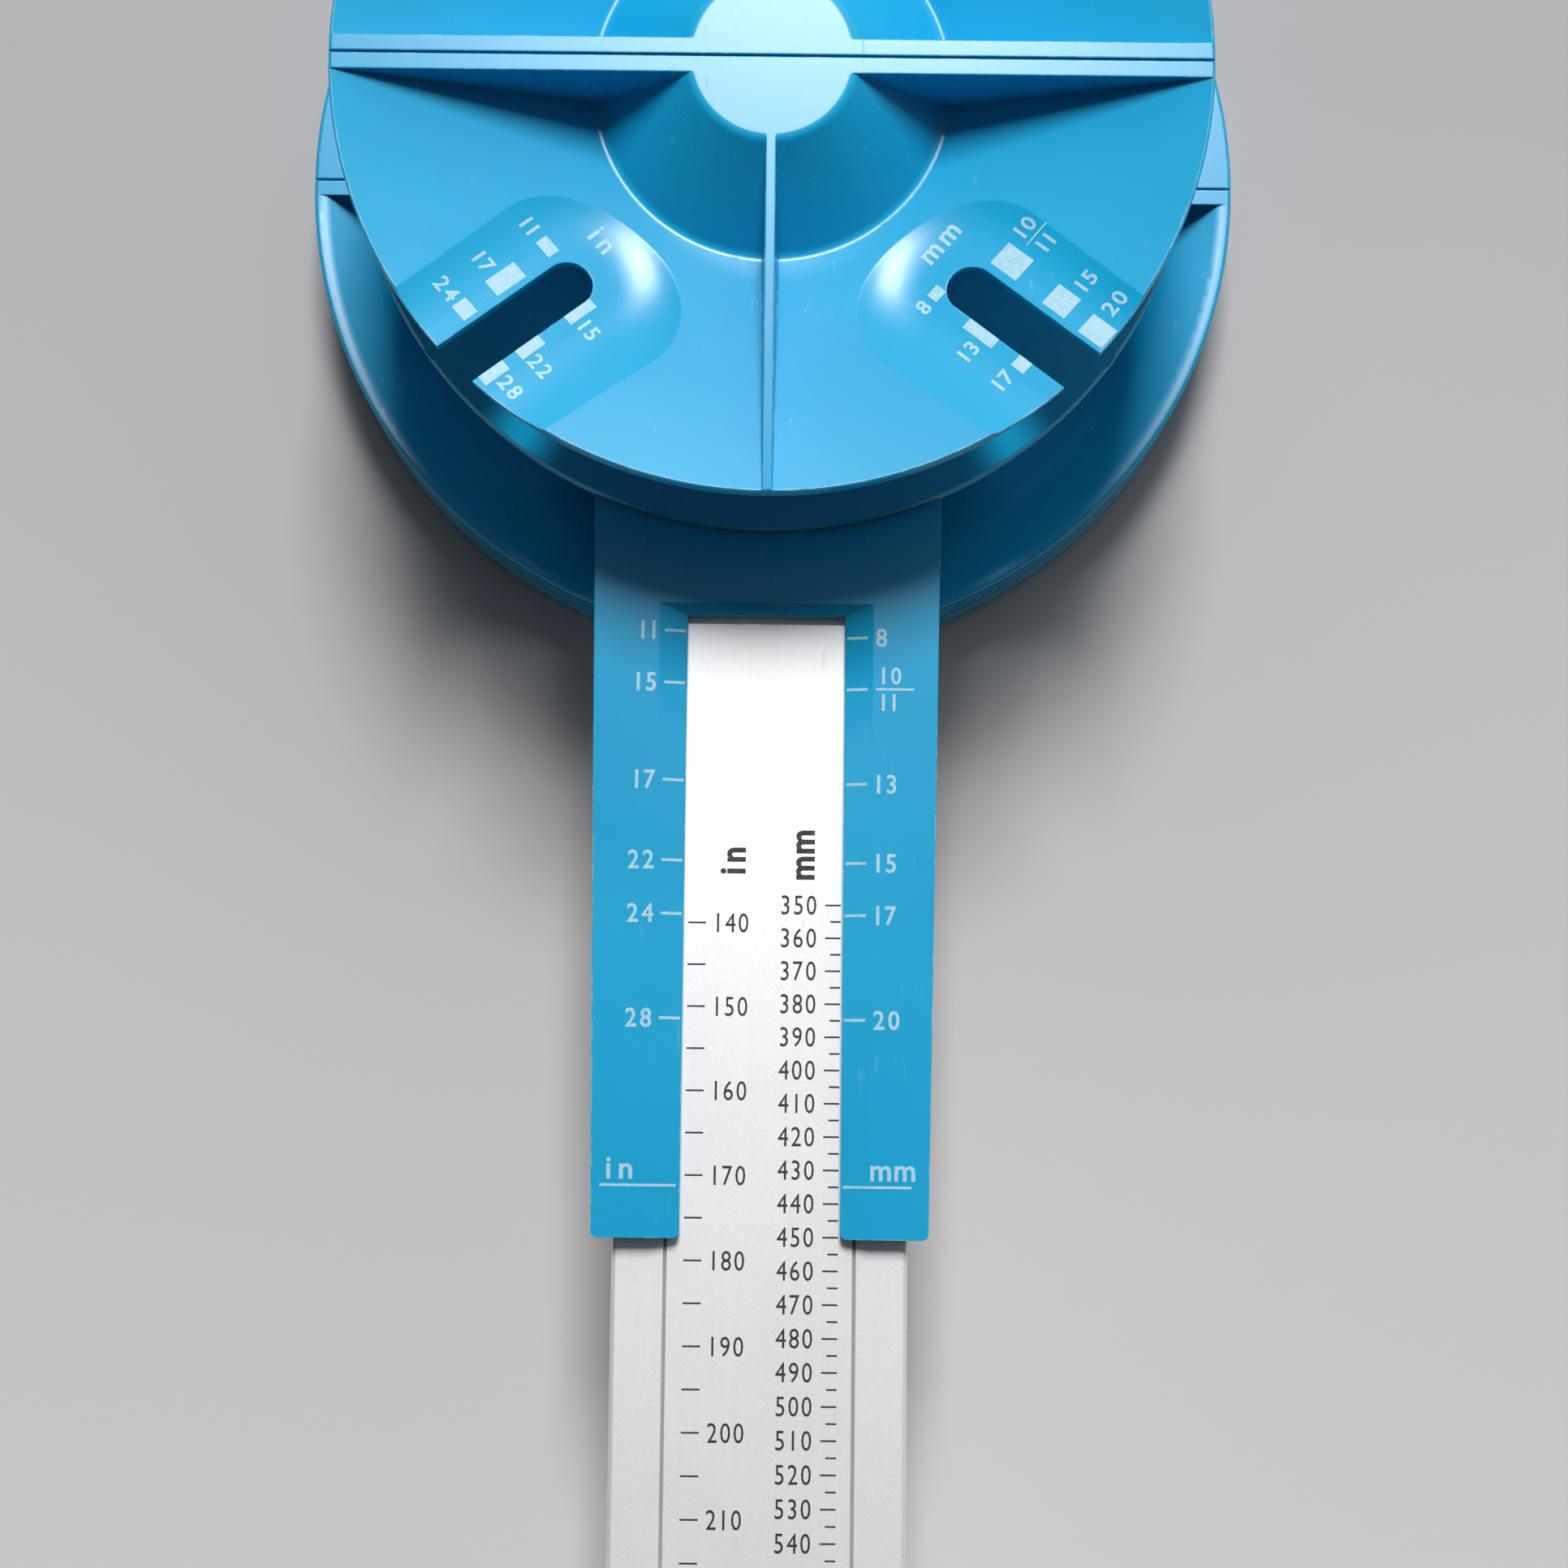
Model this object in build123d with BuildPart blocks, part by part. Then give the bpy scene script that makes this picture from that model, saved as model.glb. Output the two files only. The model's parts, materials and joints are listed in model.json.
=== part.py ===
"""Belt length ruler: two half pulleys on an aluminium rail, one fixed and one that slides.

Millimetres. +Z is up, the rail lies along Y with the fixed head at its +Y end, and the slider
moves towards -Y. The origin is the middle of the whole ruler's footprint, on the bench.
"""
import os
from math import atan, cos, degrees, hypot, radians, sin, tan

from build123d import *

os.makedirs("parts", exist_ok=True)

# Pulley halves
flange_radius = 65.0
groove_mouth = 24.0
flange_thickness = 3.0
upper_slope = 18.6
lower_slope = 17.5
core_radius = 34.0
split_gap = 0.4
wall_thickness = 2.4
wall_draft = 1.5
shell_thickness = 3.0

# Hub, dish and rib of the upper flange
hub_top_radius = 12.4
trough_radius = 26.4
trough_fillet = 1.5
hub_corner_fillet = 1.8
rim_chamfer = 0.4
rib_width = 1.45
rib_draft = 2.0

# Gauge slots and their pads
slot_end_x = 29.8
slot_end_y = 32.3
slot_angle = 41.7
slot_width = 7.2
pad_sink = 1.1
pad_flat = 6.5
pad_blend = 24.0
pad_blend_turn = 28.0

# Lower drums for ribbed belts
drum_radius = 76.0
drum_height = 20.0
drum_edge_chamfer = 0.5
drum_wall = 5.2
belt_rib_count = 3
belt_rib_pitch = 3.56
belt_rib_depth = 2.1
belt_rib_land = 1.6
belt_groove_floor = 0.5
drum_web_angles = (30.0, 60.0, 90.0, 120.0, 150.0)
bowl_land = 1.8
bowl_floor = 3.5
bowl_slope = 50.0
bowl_top_fillet = 2.4
bowl_floor_fillet = 9.0

# Rail
rail_width = 44.5
rail_height = 20.0
rail_wall = 1.8
rail_corner = 0.8
rail_rise = 8.0
scale_line_x = 14.2
scale_line_width = 0.6
scale_line_depth = 0.4
side_chamber = 8.05
port_boss_radius = 3.7

# Slider sleeve, arms and reading window
slide_clearance = 0.3
socket_clearance = 0.1
deck_rise = 5.4
deck_rim = 2.6
arm_thickness = 3.2
arm_reach = 172.1
cheek_thickness = 4.05
arm_taper = 1.4
taper_start = 59.0
window_half_width = 12.05
window_start = 77.7
bevel_side = 4.3
bevel_end = 1.7
bevel_drop = 1.2
arm_corner = 1.0
skirt_offset = 2.0
skirt_tip_depth = 9.0

# Reading range, as belt length: each belt has two runs, so travel is half the difference
longest_belt = 1800.0
closed_reading = 435.0
stop_clearance = 8.0

# Bases
rim_wall = 2.5
socket_depth = 58.0
socket_end_wall = 3.0

# Keeper plates, columns and pedestals
keeper_thickness = 3.2
keeper_start = 5.0
keeper_length = 41.0
keeper_margin = 5.6
keeper_corner = 4.0
column_offset = 4.4
column_rows = (12.0, 38.0)
column_radius = 4.6
pedestal_wall = 2.6
pedestal_roof = 4.0
tower_radius = 5.6
web_thickness = 1.8
cross_rib_rows = (28.0, 48.0)

# Screws and inserts
screw_radius = 2.0
screw_clearance = 0.05
head_radius = 3.6
head_height = 2.6
head_clearance = 0.3
socket_radius = 1.5
socket_bore_depth = 1.5
insert_radius = 2.9
insert_length = 6.4
flange_screw_points = ((-14.0, 9.0), (14.0, 9.0), (0.0, 17.0))
flange_screw_grip = 9.0
flange_boss_radius = 4.4
drum_screw_seat = 12.0
rail_screw_rows = (21.0, 29.0)
rail_screw_reach = 2.0

# Drag pad and spring under the rail
drag_y = 25.5
drag_pad_length = 14.0
drag_pad_width = 12.0
drag_clearance = 0.1
spring_length = 30.0
spring_width = 9.0
spring_thickness = 0.5
spring_bow = 1.1
spring_seat_clearance = 0.05
pocket_clearance = 0.4

# End stop
stop_plate = 5.0
stop_side_margin = 3.35
foot_side_margin = 5.4
stop_top_margin = 1.2
stop_corner = 3.0
plug_length = 16.0
plug_clearance = 0.15
stop_screw_length = 16.0
stop_screw_radius = 1.8
stop_head_radius = 3.4
stop_head_height = 2.2
foot_length = 19.0
foot_height = 4.0
foot_gusset_x = 16.0

# Levels above the bench
rail_bottom = drum_height + rail_rise
rail_top = rail_bottom + rail_height
rail_middle = (rail_bottom + rail_top) / 2
deck_level = rail_top + deck_rise
deck_under = deck_level - deck_rim
arm_under = rail_top + slide_clearance
arm_top = arm_under + arm_thickness
rim_under = deck_level + groove_mouth
rim_top = rim_under + flange_thickness
upper_rise = tan(radians(upper_slope))
lower_rise = tan(radians(lower_slope))
core_low = deck_level + (flange_radius - core_radius) * lower_rise
core_high = rim_under - (flange_radius - core_radius) * upper_rise
core_seat = (core_low + core_high) / 2
trough_level = rim_top - (flange_radius - trough_radius) * upper_rise
keeper_top = rail_bottom - slide_clearance
pedestal_top = keeper_top - keeper_thickness

# Drum profile
bowl_rise = tan(radians(bowl_slope))
bowl_radius = drum_radius - bowl_land
floor_radius = bowl_radius - (drum_height - bowl_floor) / bowl_rise
ring_radius = floor_radius + shell_thickness / sin(radians(bowl_slope))
inner_wall_radius = drum_radius - drum_wall

# Places across the rail
rail_web_x = rail_width / 2 - side_chamber
neck_half_width = rail_width / 2 + slide_clearance + cheek_thickness
tip_half_width = neck_half_width - arm_taper
column_x = neck_half_width + column_offset
keeper_half_width = column_x + keeper_margin
stop_half_width = rail_width / 2 + stop_side_margin
stop_foot_half_width = stop_half_width + foot_side_margin

# Places along the rail
skirt_start = keeper_start + keeper_length + skirt_offset
slider_travel = (longest_belt - closed_reading) / 2
rail_reach = arm_reach + slider_travel + stop_clearance
overall_length = drum_radius + rail_reach + stop_plate + stop_head_height
split_y = overall_length / 2 - drum_radius
slider_y = split_y - split_gap
rail_end_y = split_y - rail_reach
rail_start_y = split_y + socket_depth

hub_slope = atan((rim_top - trough_level) / (trough_radius - hub_top_radius))
over = 1.0


def level(centre_y, height):
    """Horizontal plane over the middle of a head's split face."""
    return Plane(origin=(0, centre_y, height))


def section(centre_y):
    """Split plane of a head, with X across and Y up in the sketch."""
    return Plane(origin=(0, centre_y, 0), x_dir=(1, 0, 0), z_dir=(0, -1, 0))


def half_turn(centre_y, side, profile=None, mode=Mode.ADD):
    """Turn a profile half round, to the side of the split where the half lies."""
    revolve(profile, axis=Axis((0, centre_y, 0), (0, 0, side)), revolution_arc=180, mode=mode)


def half_ring(centre_y, side, points, mode=Mode.ADD):
    """Half turn of a profile given as points of radius and height."""
    with BuildSketch(section(centre_y)) as profile:
        with BuildLine():
            Polyline(*points, close=True)
        make_face()
    half_turn(centre_y, side, profile.sketch, mode)


def keep_beyond_wall(centre_y, side, height, opens_up=True):
    """Cut a hollow back from the split face, so that an end wall with a little draft stays."""
    lean = radians(wall_draft if opens_up else -wall_draft)
    wall_face = Plane(origin=(0, centre_y + side * wall_thickness, height),
                      x_dir=(1, 0, 0), z_dir=(0, side * cos(lean), sin(lean)))
    split(bisect_by=wall_face, keep=Keep.TOP)


def slab(centre_y, side, x_low, x_high, y_low, y_high, z_low, z_high, mode=Mode.ADD):
    """Box from its limits across, away from the split face and up."""
    with BuildSketch(level(centre_y, z_low)) as outline:
        with Locations(((x_low + x_high) / 2, side * (y_low + y_high) / 2)):
            Rectangle(x_high - x_low, y_high - y_low)
    extrude(outline.sketch, amount=z_high - z_low, mode=mode)


def rods(plane, points, radius, length, mode=Mode.ADD):
    """Round bars or holes that start on a plane."""
    with BuildSketch(plane) as circles:
        with Locations(*points):
            Circle(radius)
    extrude(circles.sketch, amount=length, mode=mode)


def screws(seat, points, shank_radius, shank_length, cap_radius, cap_height):
    """Socket screws whose heads sit on the plane seat, with shanks along its normal."""
    rods(seat, points, shank_radius, shank_length)
    rods(seat, points, cap_radius, -cap_height)
    with BuildSketch(seat.offset(-cap_height)) as sockets:
        with Locations(*points):
            RegularPolygon(socket_radius, 6)
    extrude(sockets.sketch, amount=socket_bore_depth, mode=Mode.SUBTRACT)


def save(piece, name):
    """Label a finished piece and write it under its node name."""
    piece.part.label = name
    export_step(piece.part, f"parts/{name}.step")


def side_plane(centre_y, side):
    """Upright plane along the rail, with X away from the split face and Y up in the sketch."""
    return Plane(origin=(0, centre_y, 0), x_dir=(0, side, 0), z_dir=(side, 0, 0))


def plate(centre_y, side, z_low, z_high, inset=0.0, mode=Mode.ADD):
    """Rounded plate in the outline of keeper and pedestal, or smaller all round by an inset."""
    with BuildSketch(level(centre_y, z_low)) as outline:
        with Locations((0, side * (keeper_start + keeper_length / 2))):
            RectangleRounded(2 * (keeper_half_width - inset), keeper_length - 2 * inset,
                             keeper_corner - inset)
    extrude(outline.sketch, amount=z_high - z_low, mode=mode)


def column_points(side):
    """Screw columns of a head, two on each side of the rail."""
    return [(sign * column_x, side * row) for sign in (-1, 1) for row in column_rows]


def flange_points(side):
    """Screws that hold a head's upper flange on its core."""
    return [(x, side * y) for x, y in flange_screw_points]


# Rail: three chambers, two webs with screw ports, and two fine lines beside the scale band
with BuildPart() as rail:
    rail_section = Plane(origin=(0, rail_end_y, rail_middle), x_dir=(1, 0, 0), z_dir=(0, -1, 0))
    rail_length = rail_start_y - rail_end_y
    with BuildSketch(rail_section):
        RectangleRounded(rail_width, rail_height, rail_corner)
        Rectangle(rail_width - 2 * rail_wall, rail_height - 2 * rail_wall, mode=Mode.SUBTRACT)
        with Locations((-rail_web_x, 0), (rail_web_x, 0)):
            Rectangle(rail_wall, rail_height - rail_wall)
            Circle(port_boss_radius)
            Circle(stop_screw_radius + screw_clearance, mode=Mode.SUBTRACT)
        for sign in (-1, 1):
            with BuildLine():
                Polyline((sign * scale_line_x - scale_line_width / 2, rail_height / 2),
                         (sign * scale_line_x, rail_height / 2 - scale_line_depth),
                         (sign * scale_line_x + scale_line_width / 2, rail_height / 2), close=True)
            make_face(mode=Mode.SUBTRACT)
    extrude(amount=-rail_length)
    side_bores = [(row, 0) for row in rail_screw_rows]
    for sign in (-1, 1):
        wall_plane = Plane(origin=(sign * rail_width / 2, split_y, rail_middle),
                           x_dir=(0, 1, 0), z_dir=(-sign, 0, 0))
        rods(wall_plane, side_bores, screw_radius + screw_clearance, rail_wall, mode=Mode.SUBTRACT)
save(rail, "rail")

heads = (("fixed", split_y, 1), ("slider", slider_y, -1))
for head, centre_y, side in heads:
    sliding = head == "slider"

    # Dish of the upper flange: everything between hub, end wall, rib and rim
    with BuildPart() as dish:
        beyond = flange_radius + over
        with BuildSketch(section(centre_y)):
            with BuildLine():
                Polyline((hub_top_radius / 2, rim_top), (hub_top_radius, rim_top),
                         (trough_radius, trough_level),
                         (beyond, rim_top + over * upper_rise), (beyond, rim_top + 2 * over),
                         (hub_top_radius / 2, rim_top + 2 * over), close=True)
            make_face()
            trough_corner = vertices().sort_by(Axis.Y)[0]
            fillet(trough_corner, trough_fillet)
            hub_corner = vertices().sort_by_distance((hub_top_radius, rim_top))[0]
            fillet(hub_corner, hub_corner_fillet)
        half_turn(centre_y, side)
        keep_beyond_wall(centre_y, side, rim_top)
        with BuildSketch(section(centre_y)):
            rib_foot = rib_width / 2 + (rim_top - trough_level) * tan(radians(rib_draft))
            rib_head = rib_width / 2 - 2 * over * tan(radians(rib_draft))
            with BuildLine():
                Polyline((-rib_foot, trough_level), (rib_foot, trough_level),
                         (rib_head, rim_top + 2 * over), (-rib_head, rim_top + 2 * over),
                         close=True)
            make_face()
        extrude(amount=-side * (beyond + over), mode=Mode.SUBTRACT)

    # Hollow under the hub, round the screw bosses
    with BuildPart() as hub_hollow:
        roof = rim_top - shell_thickness
        offset_r = shell_thickness * sin(hub_slope)
        offset_z = shell_thickness * cos(hub_slope)
        run = 1 / tan(hub_slope)
        roof_radius = hub_top_radius - offset_r + (rim_top - offset_z - roof) * run
        foot_radius = roof_radius + (roof - core_seat) * run
        half_ring(centre_y, side, [(0, core_seat), (foot_radius, core_seat), (roof_radius, roof),
                                   (0, roof)])
        keep_beyond_wall(centre_y, side, core_seat, opens_up=False)
        rods(level(centre_y, core_seat), flange_points(side), flange_boss_radius,
             roof - core_seat, mode=Mode.SUBTRACT)

    with BuildPart() as top_flange:
        with BuildSketch(section(centre_y)):
            with BuildLine():
                Polyline((0, core_seat), (core_radius, core_seat), (core_radius, core_high),
                         (flange_radius, rim_under), (flange_radius, rim_top), (0, rim_top),
                         close=True)
            make_face()
            chamfer(vertices().group_by(Axis.X)[-1], rim_chamfer)
        half_turn(centre_y, side)
        add(dish.part, mode=Mode.SUBTRACT)
        add(hub_hollow.part, mode=Mode.SUBTRACT)
        rods(level(centre_y, core_seat), flange_points(side), screw_radius + screw_clearance,
             flange_screw_grip, mode=Mode.SUBTRACT)
        if sliding:
            for sign in (-1, 1):
                turn = radians(slot_angle)
                out_x = sign * cos(turn)
                out_y = -sin(turn)
                pad_radius = hypot(slot_end_x, slot_end_y)
                pad_level = rim_top - (flange_radius - pad_radius) * upper_rise - pad_sink
                lean = radians(upper_slope)
                pad_plane = Plane(
                    origin=(sign * slot_end_x, centre_y - slot_end_y, pad_level),
                    x_dir=(out_x * cos(lean), out_y * cos(lean), sin(lean)),
                    z_dir=(-out_x * sin(lean), -out_y * sin(lean), cos(lean)))
                blend_turn = radians(pad_blend_turn)
                pad_edge = pad_flat + pad_blend * sin(blend_turn)
                pad_rise = pad_blend * (1 - cos(blend_turn))
                across = Plane(origin=pad_plane.origin, x_dir=pad_plane.y_dir,
                               z_dir=pad_plane.x_dir)
                with BuildSketch(across) as pad_half:
                    with BuildLine():
                        floor = Line((0, 0), (pad_flat, 0))
                        curve = ThreePointArc(
                            floor @ 1,
                            (pad_flat + pad_blend * sin(blend_turn / 2),
                             pad_blend * (1 - cos(blend_turn / 2))),
                            (pad_edge, pad_rise))
                        Polyline(curve @ 1, (0, pad_rise), floor @ 0)
                    make_face()
                revolve(axis=Axis(pad_plane.origin, pad_plane.z_dir), mode=Mode.SUBTRACT)
                with BuildSketch(across):
                    add(pad_half.sketch_local)
                    mirror(about=Plane.YZ)
                extrude(amount=flange_radius, mode=Mode.SUBTRACT)
                with BuildSketch(level(centre_y, core_seat)):
                    with Locations((sign * slot_end_x, -slot_end_y)):
                        Circle(slot_width / 2)
                        with Locations(Rotation(0, 0, degrees(turn) * -sign)):
                            with Locations((sign * flange_radius / 2, 0)):
                                Rectangle(flange_radius, slot_width)
                extrude(amount=rim_top - core_seat + over, mode=Mode.SUBTRACT)
    save(top_flange, f"{head}_top_flange")

    with BuildPart() as flange_screws:
        screws(level(centre_y, core_seat - shell_thickness), flange_points(side), screw_radius,
               shell_thickness + flange_screw_grip - over, head_radius, head_height)
    save(flange_screws, f"{head}_flange_screws")

    # Everything below the groove's lower flank
    with BuildPart() as under_flank:
        half_ring(centre_y, side, [(0, 0), (flange_radius, 0), (flange_radius, deck_level),
                                   (core_radius, core_low), (core_radius, core_seat),
                                   (0, core_seat)])

    # Screw columns and the ribs between cheeks, columns and rim
    channel_gap = slide_clearance if sliding else socket_clearance
    channel_half_width = rail_width / 2 + channel_gap
    channel_top = rail_top + channel_gap
    with BuildPart() as posts:
        rods(level(centre_y, keeper_top), column_points(side), column_radius,
             core_seat - keeper_top)
        for row in column_rows:
            for x_low, x_high in ((-flange_radius, over - neck_half_width),
                                  (neck_half_width - over, flange_radius)):
                slab(centre_y, side, x_low, x_high, row - web_thickness / 2,
                     row + web_thickness / 2, deck_under, core_seat)
        for row in cross_rib_rows:
            slab(centre_y, side, over - neck_half_width, neck_half_width - over,
                 row - web_thickness / 2, row + web_thickness / 2, channel_top, core_seat)
        add(under_flank.part, mode=Mode.INTERSECT)

    # Room inside the base, open below, with the cheeks left standing beside the rail
    sleeve_end = arm_reach if sliding else socket_depth + socket_end_wall
    with BuildPart() as base_room:
        slope_gap = shell_thickness / cos(radians(lower_slope))
        room_radius = flange_radius - rim_wall
        room_roof = core_seat - shell_thickness
        rim_level = deck_level + rim_wall * lower_rise - slope_gap
        roof_radius = room_radius - (room_roof - rim_level) / lower_rise
        half_ring(centre_y, side, [(0, rail_top - over), (room_radius, rail_top - over),
                                   (room_radius, rim_level), (roof_radius, room_roof),
                                   (0, room_roof)])
        keep_beyond_wall(centre_y, side, rail_top, opens_up=False)
        for x_low, x_high in ((-neck_half_width, -channel_half_width),
                              (channel_half_width, neck_half_width)):
            slab(centre_y, side, x_low, x_high, 0, flange_radius, rail_top - over, core_seat,
                 mode=Mode.SUBTRACT)
        if not sliding:
            slab(centre_y, side, -neck_half_width, neck_half_width, socket_depth, sleeve_end,
                 rail_top - over, core_seat, mode=Mode.SUBTRACT)

    with BuildPart() as base:
        with BuildSketch(section(centre_y)):
            with BuildLine():
                Polyline((0, deck_under), (flange_radius, deck_under),
                         (flange_radius, deck_level), (core_radius, core_low),
                         (core_radius, core_seat), (0, core_seat), close=True)
            make_face()
            chamfer(vertices().group_by(Axis.X)[-1], rim_chamfer)
        half_turn(centre_y, side)
        end_half_width = tip_half_width if sliding else neck_half_width
        with BuildSketch(level(centre_y, keeper_top)):
            with BuildLine():
                Polyline((-neck_half_width, 0), (-neck_half_width, side * taper_start),
                         (-end_half_width, side * sleeve_end), (end_half_width, side * sleeve_end),
                         (neck_half_width, side * taper_start), (neck_half_width, 0), close=True)
            make_face()
            if sliding:
                with Locations((0, side * (window_start + arm_reach / 2))):
                    Rectangle(2 * window_half_width, arm_reach, mode=Mode.SUBTRACT)
            fillet(vertices().group_by(Axis.Y)[0 if sliding else -1], arm_corner)
        extrude(amount=arm_top - keeper_top)
        add(base_room.part, mode=Mode.SUBTRACT)
        add(posts.part)
        channel_end = sleeve_end + over if sliding else socket_depth
        slab(centre_y, side, -channel_half_width, channel_half_width, -over, channel_end,
             keeper_top - over, channel_top, mode=Mode.SUBTRACT)
        rods(level(centre_y, keeper_top), column_points(side), insert_radius, insert_length,
             mode=Mode.SUBTRACT)
        rods(level(centre_y, core_seat), flange_points(side), screw_radius + screw_clearance,
             -shell_thickness - over, mode=Mode.SUBTRACT)
        if sliding:
            with BuildSketch(side_plane(centre_y, side)):
                with BuildLine():
                    Polyline((skirt_start, keeper_top - over), (skirt_start, keeper_top),
                             (arm_reach + over, arm_top - skirt_tip_depth),
                             (arm_reach + over, keeper_top - over), close=True)
                make_face()
            extrude(amount=neck_half_width + over, both=True, mode=Mode.SUBTRACT)
            for grow_side, grow_end, drop in ((bevel_side, bevel_end, 0), (0, 0, bevel_drop)):
                start = window_start - grow_end
                with BuildSketch(level(centre_y, arm_top - drop)):
                    with Locations((0, side * (start + arm_reach + over) / 2)):
                        Rectangle(2 * (window_half_width + grow_side), arm_reach + over - start)
            loft(mode=Mode.SUBTRACT)
        else:
            side_holes = [(row, 0) for row in rail_screw_rows]
            for sign in (-1, 1):
                cheek_plane = Plane(origin=(sign * neck_half_width, split_y, rail_middle),
                                    x_dir=(0, 1, 0), z_dir=(-sign, 0, 0))
                rods(cheek_plane, side_holes, screw_radius + screw_clearance,
                     neck_half_width - rail_width / 2 + over, mode=Mode.SUBTRACT)
    save(base, f"{head}_base")

    # Room under the fixed drum's deck, or under the sloping side of the slider's bowl
    with BuildPart() as under_room:
        if sliding:
            half_ring(centre_y, side, [(ring_radius - (bowl_floor + over) / bowl_rise, -over),
                                       (inner_wall_radius, -over),
                                       (inner_wall_radius, bowl_floor
                                        + (inner_wall_radius - ring_radius) * bowl_rise)])
        else:
            half_ring(centre_y, side, [(0, -over), (inner_wall_radius, -over),
                                       (inner_wall_radius, drum_height - shell_thickness),
                                       (0, drum_height - shell_thickness)])
        keep_beyond_wall(centre_y, side, 0, opens_up=False)
        for turn in drum_web_angles:
            with BuildSketch(level(centre_y, -over)):
                with Locations(Rotation(0, 0, side * turn)):
                    with Locations((drum_radius / 2, 0)):
                        Rectangle(drum_radius, web_thickness)
            extrude(amount=drum_height + over, mode=Mode.SUBTRACT)

    # Bowl of the slider's drum, with a rounded mouth and a wide sweep into its floor
    with BuildPart() as bowl:
        with BuildSketch(section(centre_y)):
            with BuildLine():
                Polyline((0, bowl_floor), (floor_radius, bowl_floor), (bowl_radius, drum_height),
                         (drum_radius + over, drum_height), (drum_radius + over, drum_height + over),
                         (0, drum_height + over), close=True)
            make_face()
            floor_corner = vertices().sort_by_distance((floor_radius, bowl_floor))[0]
            fillet(floor_corner, bowl_floor_fillet)
            mouth_corner = vertices().sort_by_distance((bowl_radius, drum_height))[0]
            fillet(mouth_corner, bowl_top_fillet)
        half_turn(centre_y, side)
        keep_beyond_wall(centre_y, side, drum_height)

    # Drum: a ribbed wall, a bowl on the slider or a flat deck on the fixed head, and the pedestal
    with BuildPart() as drum:
        with BuildSketch(section(centre_y)):
            with BuildLine():
                Polyline((0, 0), (drum_radius, 0), (drum_radius, drum_height), (0, drum_height),
                         close=True)
            make_face()
            chamfer(vertices().group_by(Axis.X)[-1], drum_edge_chamfer)
            groove_half = belt_groove_floor / 2 + (belt_rib_depth + over) * tan(radians(20))
            for rib in range(belt_rib_count):
                groove_level = drum_height - belt_rib_land - (rib + 0.5) * belt_rib_pitch
                with BuildLine():
                    Polyline((drum_radius - belt_rib_depth, groove_level - belt_groove_floor / 2),
                             (drum_radius + over, groove_level - groove_half),
                             (drum_radius + over, groove_level + groove_half),
                             (drum_radius - belt_rib_depth, groove_level + belt_groove_floor / 2),
                             close=True)
                make_face(mode=Mode.SUBTRACT)
        half_turn(centre_y, side)
        add(under_room.part, mode=Mode.SUBTRACT)
        if sliding:
            add(bowl.part, mode=Mode.SUBTRACT)
        plate(centre_y, side, 0, pedestal_top)
        with BuildSketch(level(centre_y, 0)):
            with Locations((0, side * (keeper_start + keeper_length / 2))):
                RectangleRounded(2 * (keeper_half_width - pedestal_wall),
                                 keeper_length - 2 * pedestal_wall, keeper_corner - pedestal_wall)
            with Locations(*column_points(side)):
                Circle(tower_radius, mode=Mode.SUBTRACT)
        extrude(amount=pedestal_top - pedestal_roof, mode=Mode.SUBTRACT)
        rods(level(centre_y, 0), column_points(side), head_radius + head_clearance,
             drum_screw_seat, mode=Mode.SUBTRACT)
        rods(level(centre_y, 0), column_points(side), screw_radius + screw_clearance,
             pedestal_top + over, mode=Mode.SUBTRACT)
        if sliding:
            pocket_depth = spring_bow + spring_thickness + 2 * spring_seat_clearance
            slab(centre_y, side, -spring_width / 2 - pocket_clearance,
                 spring_width / 2 + pocket_clearance,
                 drag_y - spring_length / 2 - pocket_clearance,
                 drag_y + spring_length / 2 + pocket_clearance, pedestal_top - pocket_depth,
                 pedestal_top, mode=Mode.SUBTRACT)
    save(drum, f"{head}_drum")

    with BuildPart() as keeper:
        plate(centre_y, side, pedestal_top, keeper_top)
        rods(level(centre_y, pedestal_top), column_points(side), screw_radius + screw_clearance,
             keeper_thickness, mode=Mode.SUBTRACT)
        if sliding:
            slab(centre_y, side, -drag_pad_width / 2 - pocket_clearance,
                 drag_pad_width / 2 + pocket_clearance,
                 drag_y - drag_pad_length / 2 - pocket_clearance,
                 drag_y + drag_pad_length / 2 + pocket_clearance, pedestal_top, keeper_top,
                 mode=Mode.SUBTRACT)
    save(keeper, f"{head}_keeper")

    with BuildPart() as drum_screws:
        screws(level(centre_y, drum_screw_seat), column_points(side), screw_radius,
               keeper_top + insert_length - over - drum_screw_seat, head_radius, head_height)
    save(drum_screws, f"{head}_drum_screws")

    with BuildPart() as inserts:
        rods(level(centre_y, keeper_top), column_points(side), insert_radius, insert_length)
        rods(level(centre_y, keeper_top), column_points(side), screw_radius + screw_clearance,
             insert_length, mode=Mode.SUBTRACT)
    save(inserts, f"{head}_inserts")

# Drag pad in the slider keeper's window and the bowed leaf that lifts it against the rail
with BuildPart() as drag_pad:
    slab(slider_y, -1, -drag_pad_width / 2, drag_pad_width / 2, drag_y - drag_pad_length / 2,
         drag_y + drag_pad_length / 2, pedestal_top, rail_bottom - drag_clearance)
save(drag_pad, "drag_pad")

with BuildPart() as drag_spring:
    crest = pedestal_top - spring_seat_clearance
    with BuildSketch(side_plane(slider_y, -1)):
        with BuildLine():
            upper = ThreePointArc((drag_y - spring_length / 2, crest - spring_bow),
                                  (drag_y, crest), (drag_y + spring_length / 2, crest - spring_bow))
            lower = ThreePointArc(
                (drag_y - spring_length / 2, crest - spring_bow - spring_thickness),
                (drag_y, crest - spring_thickness),
                (drag_y + spring_length / 2, crest - spring_bow - spring_thickness))
            Line(upper @ 0, lower @ 0)
            Line(upper @ 1, lower @ 1)
        make_face()
    extrude(amount=spring_width / 2, both=True)
save(drag_spring, "drag_spring")

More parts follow.
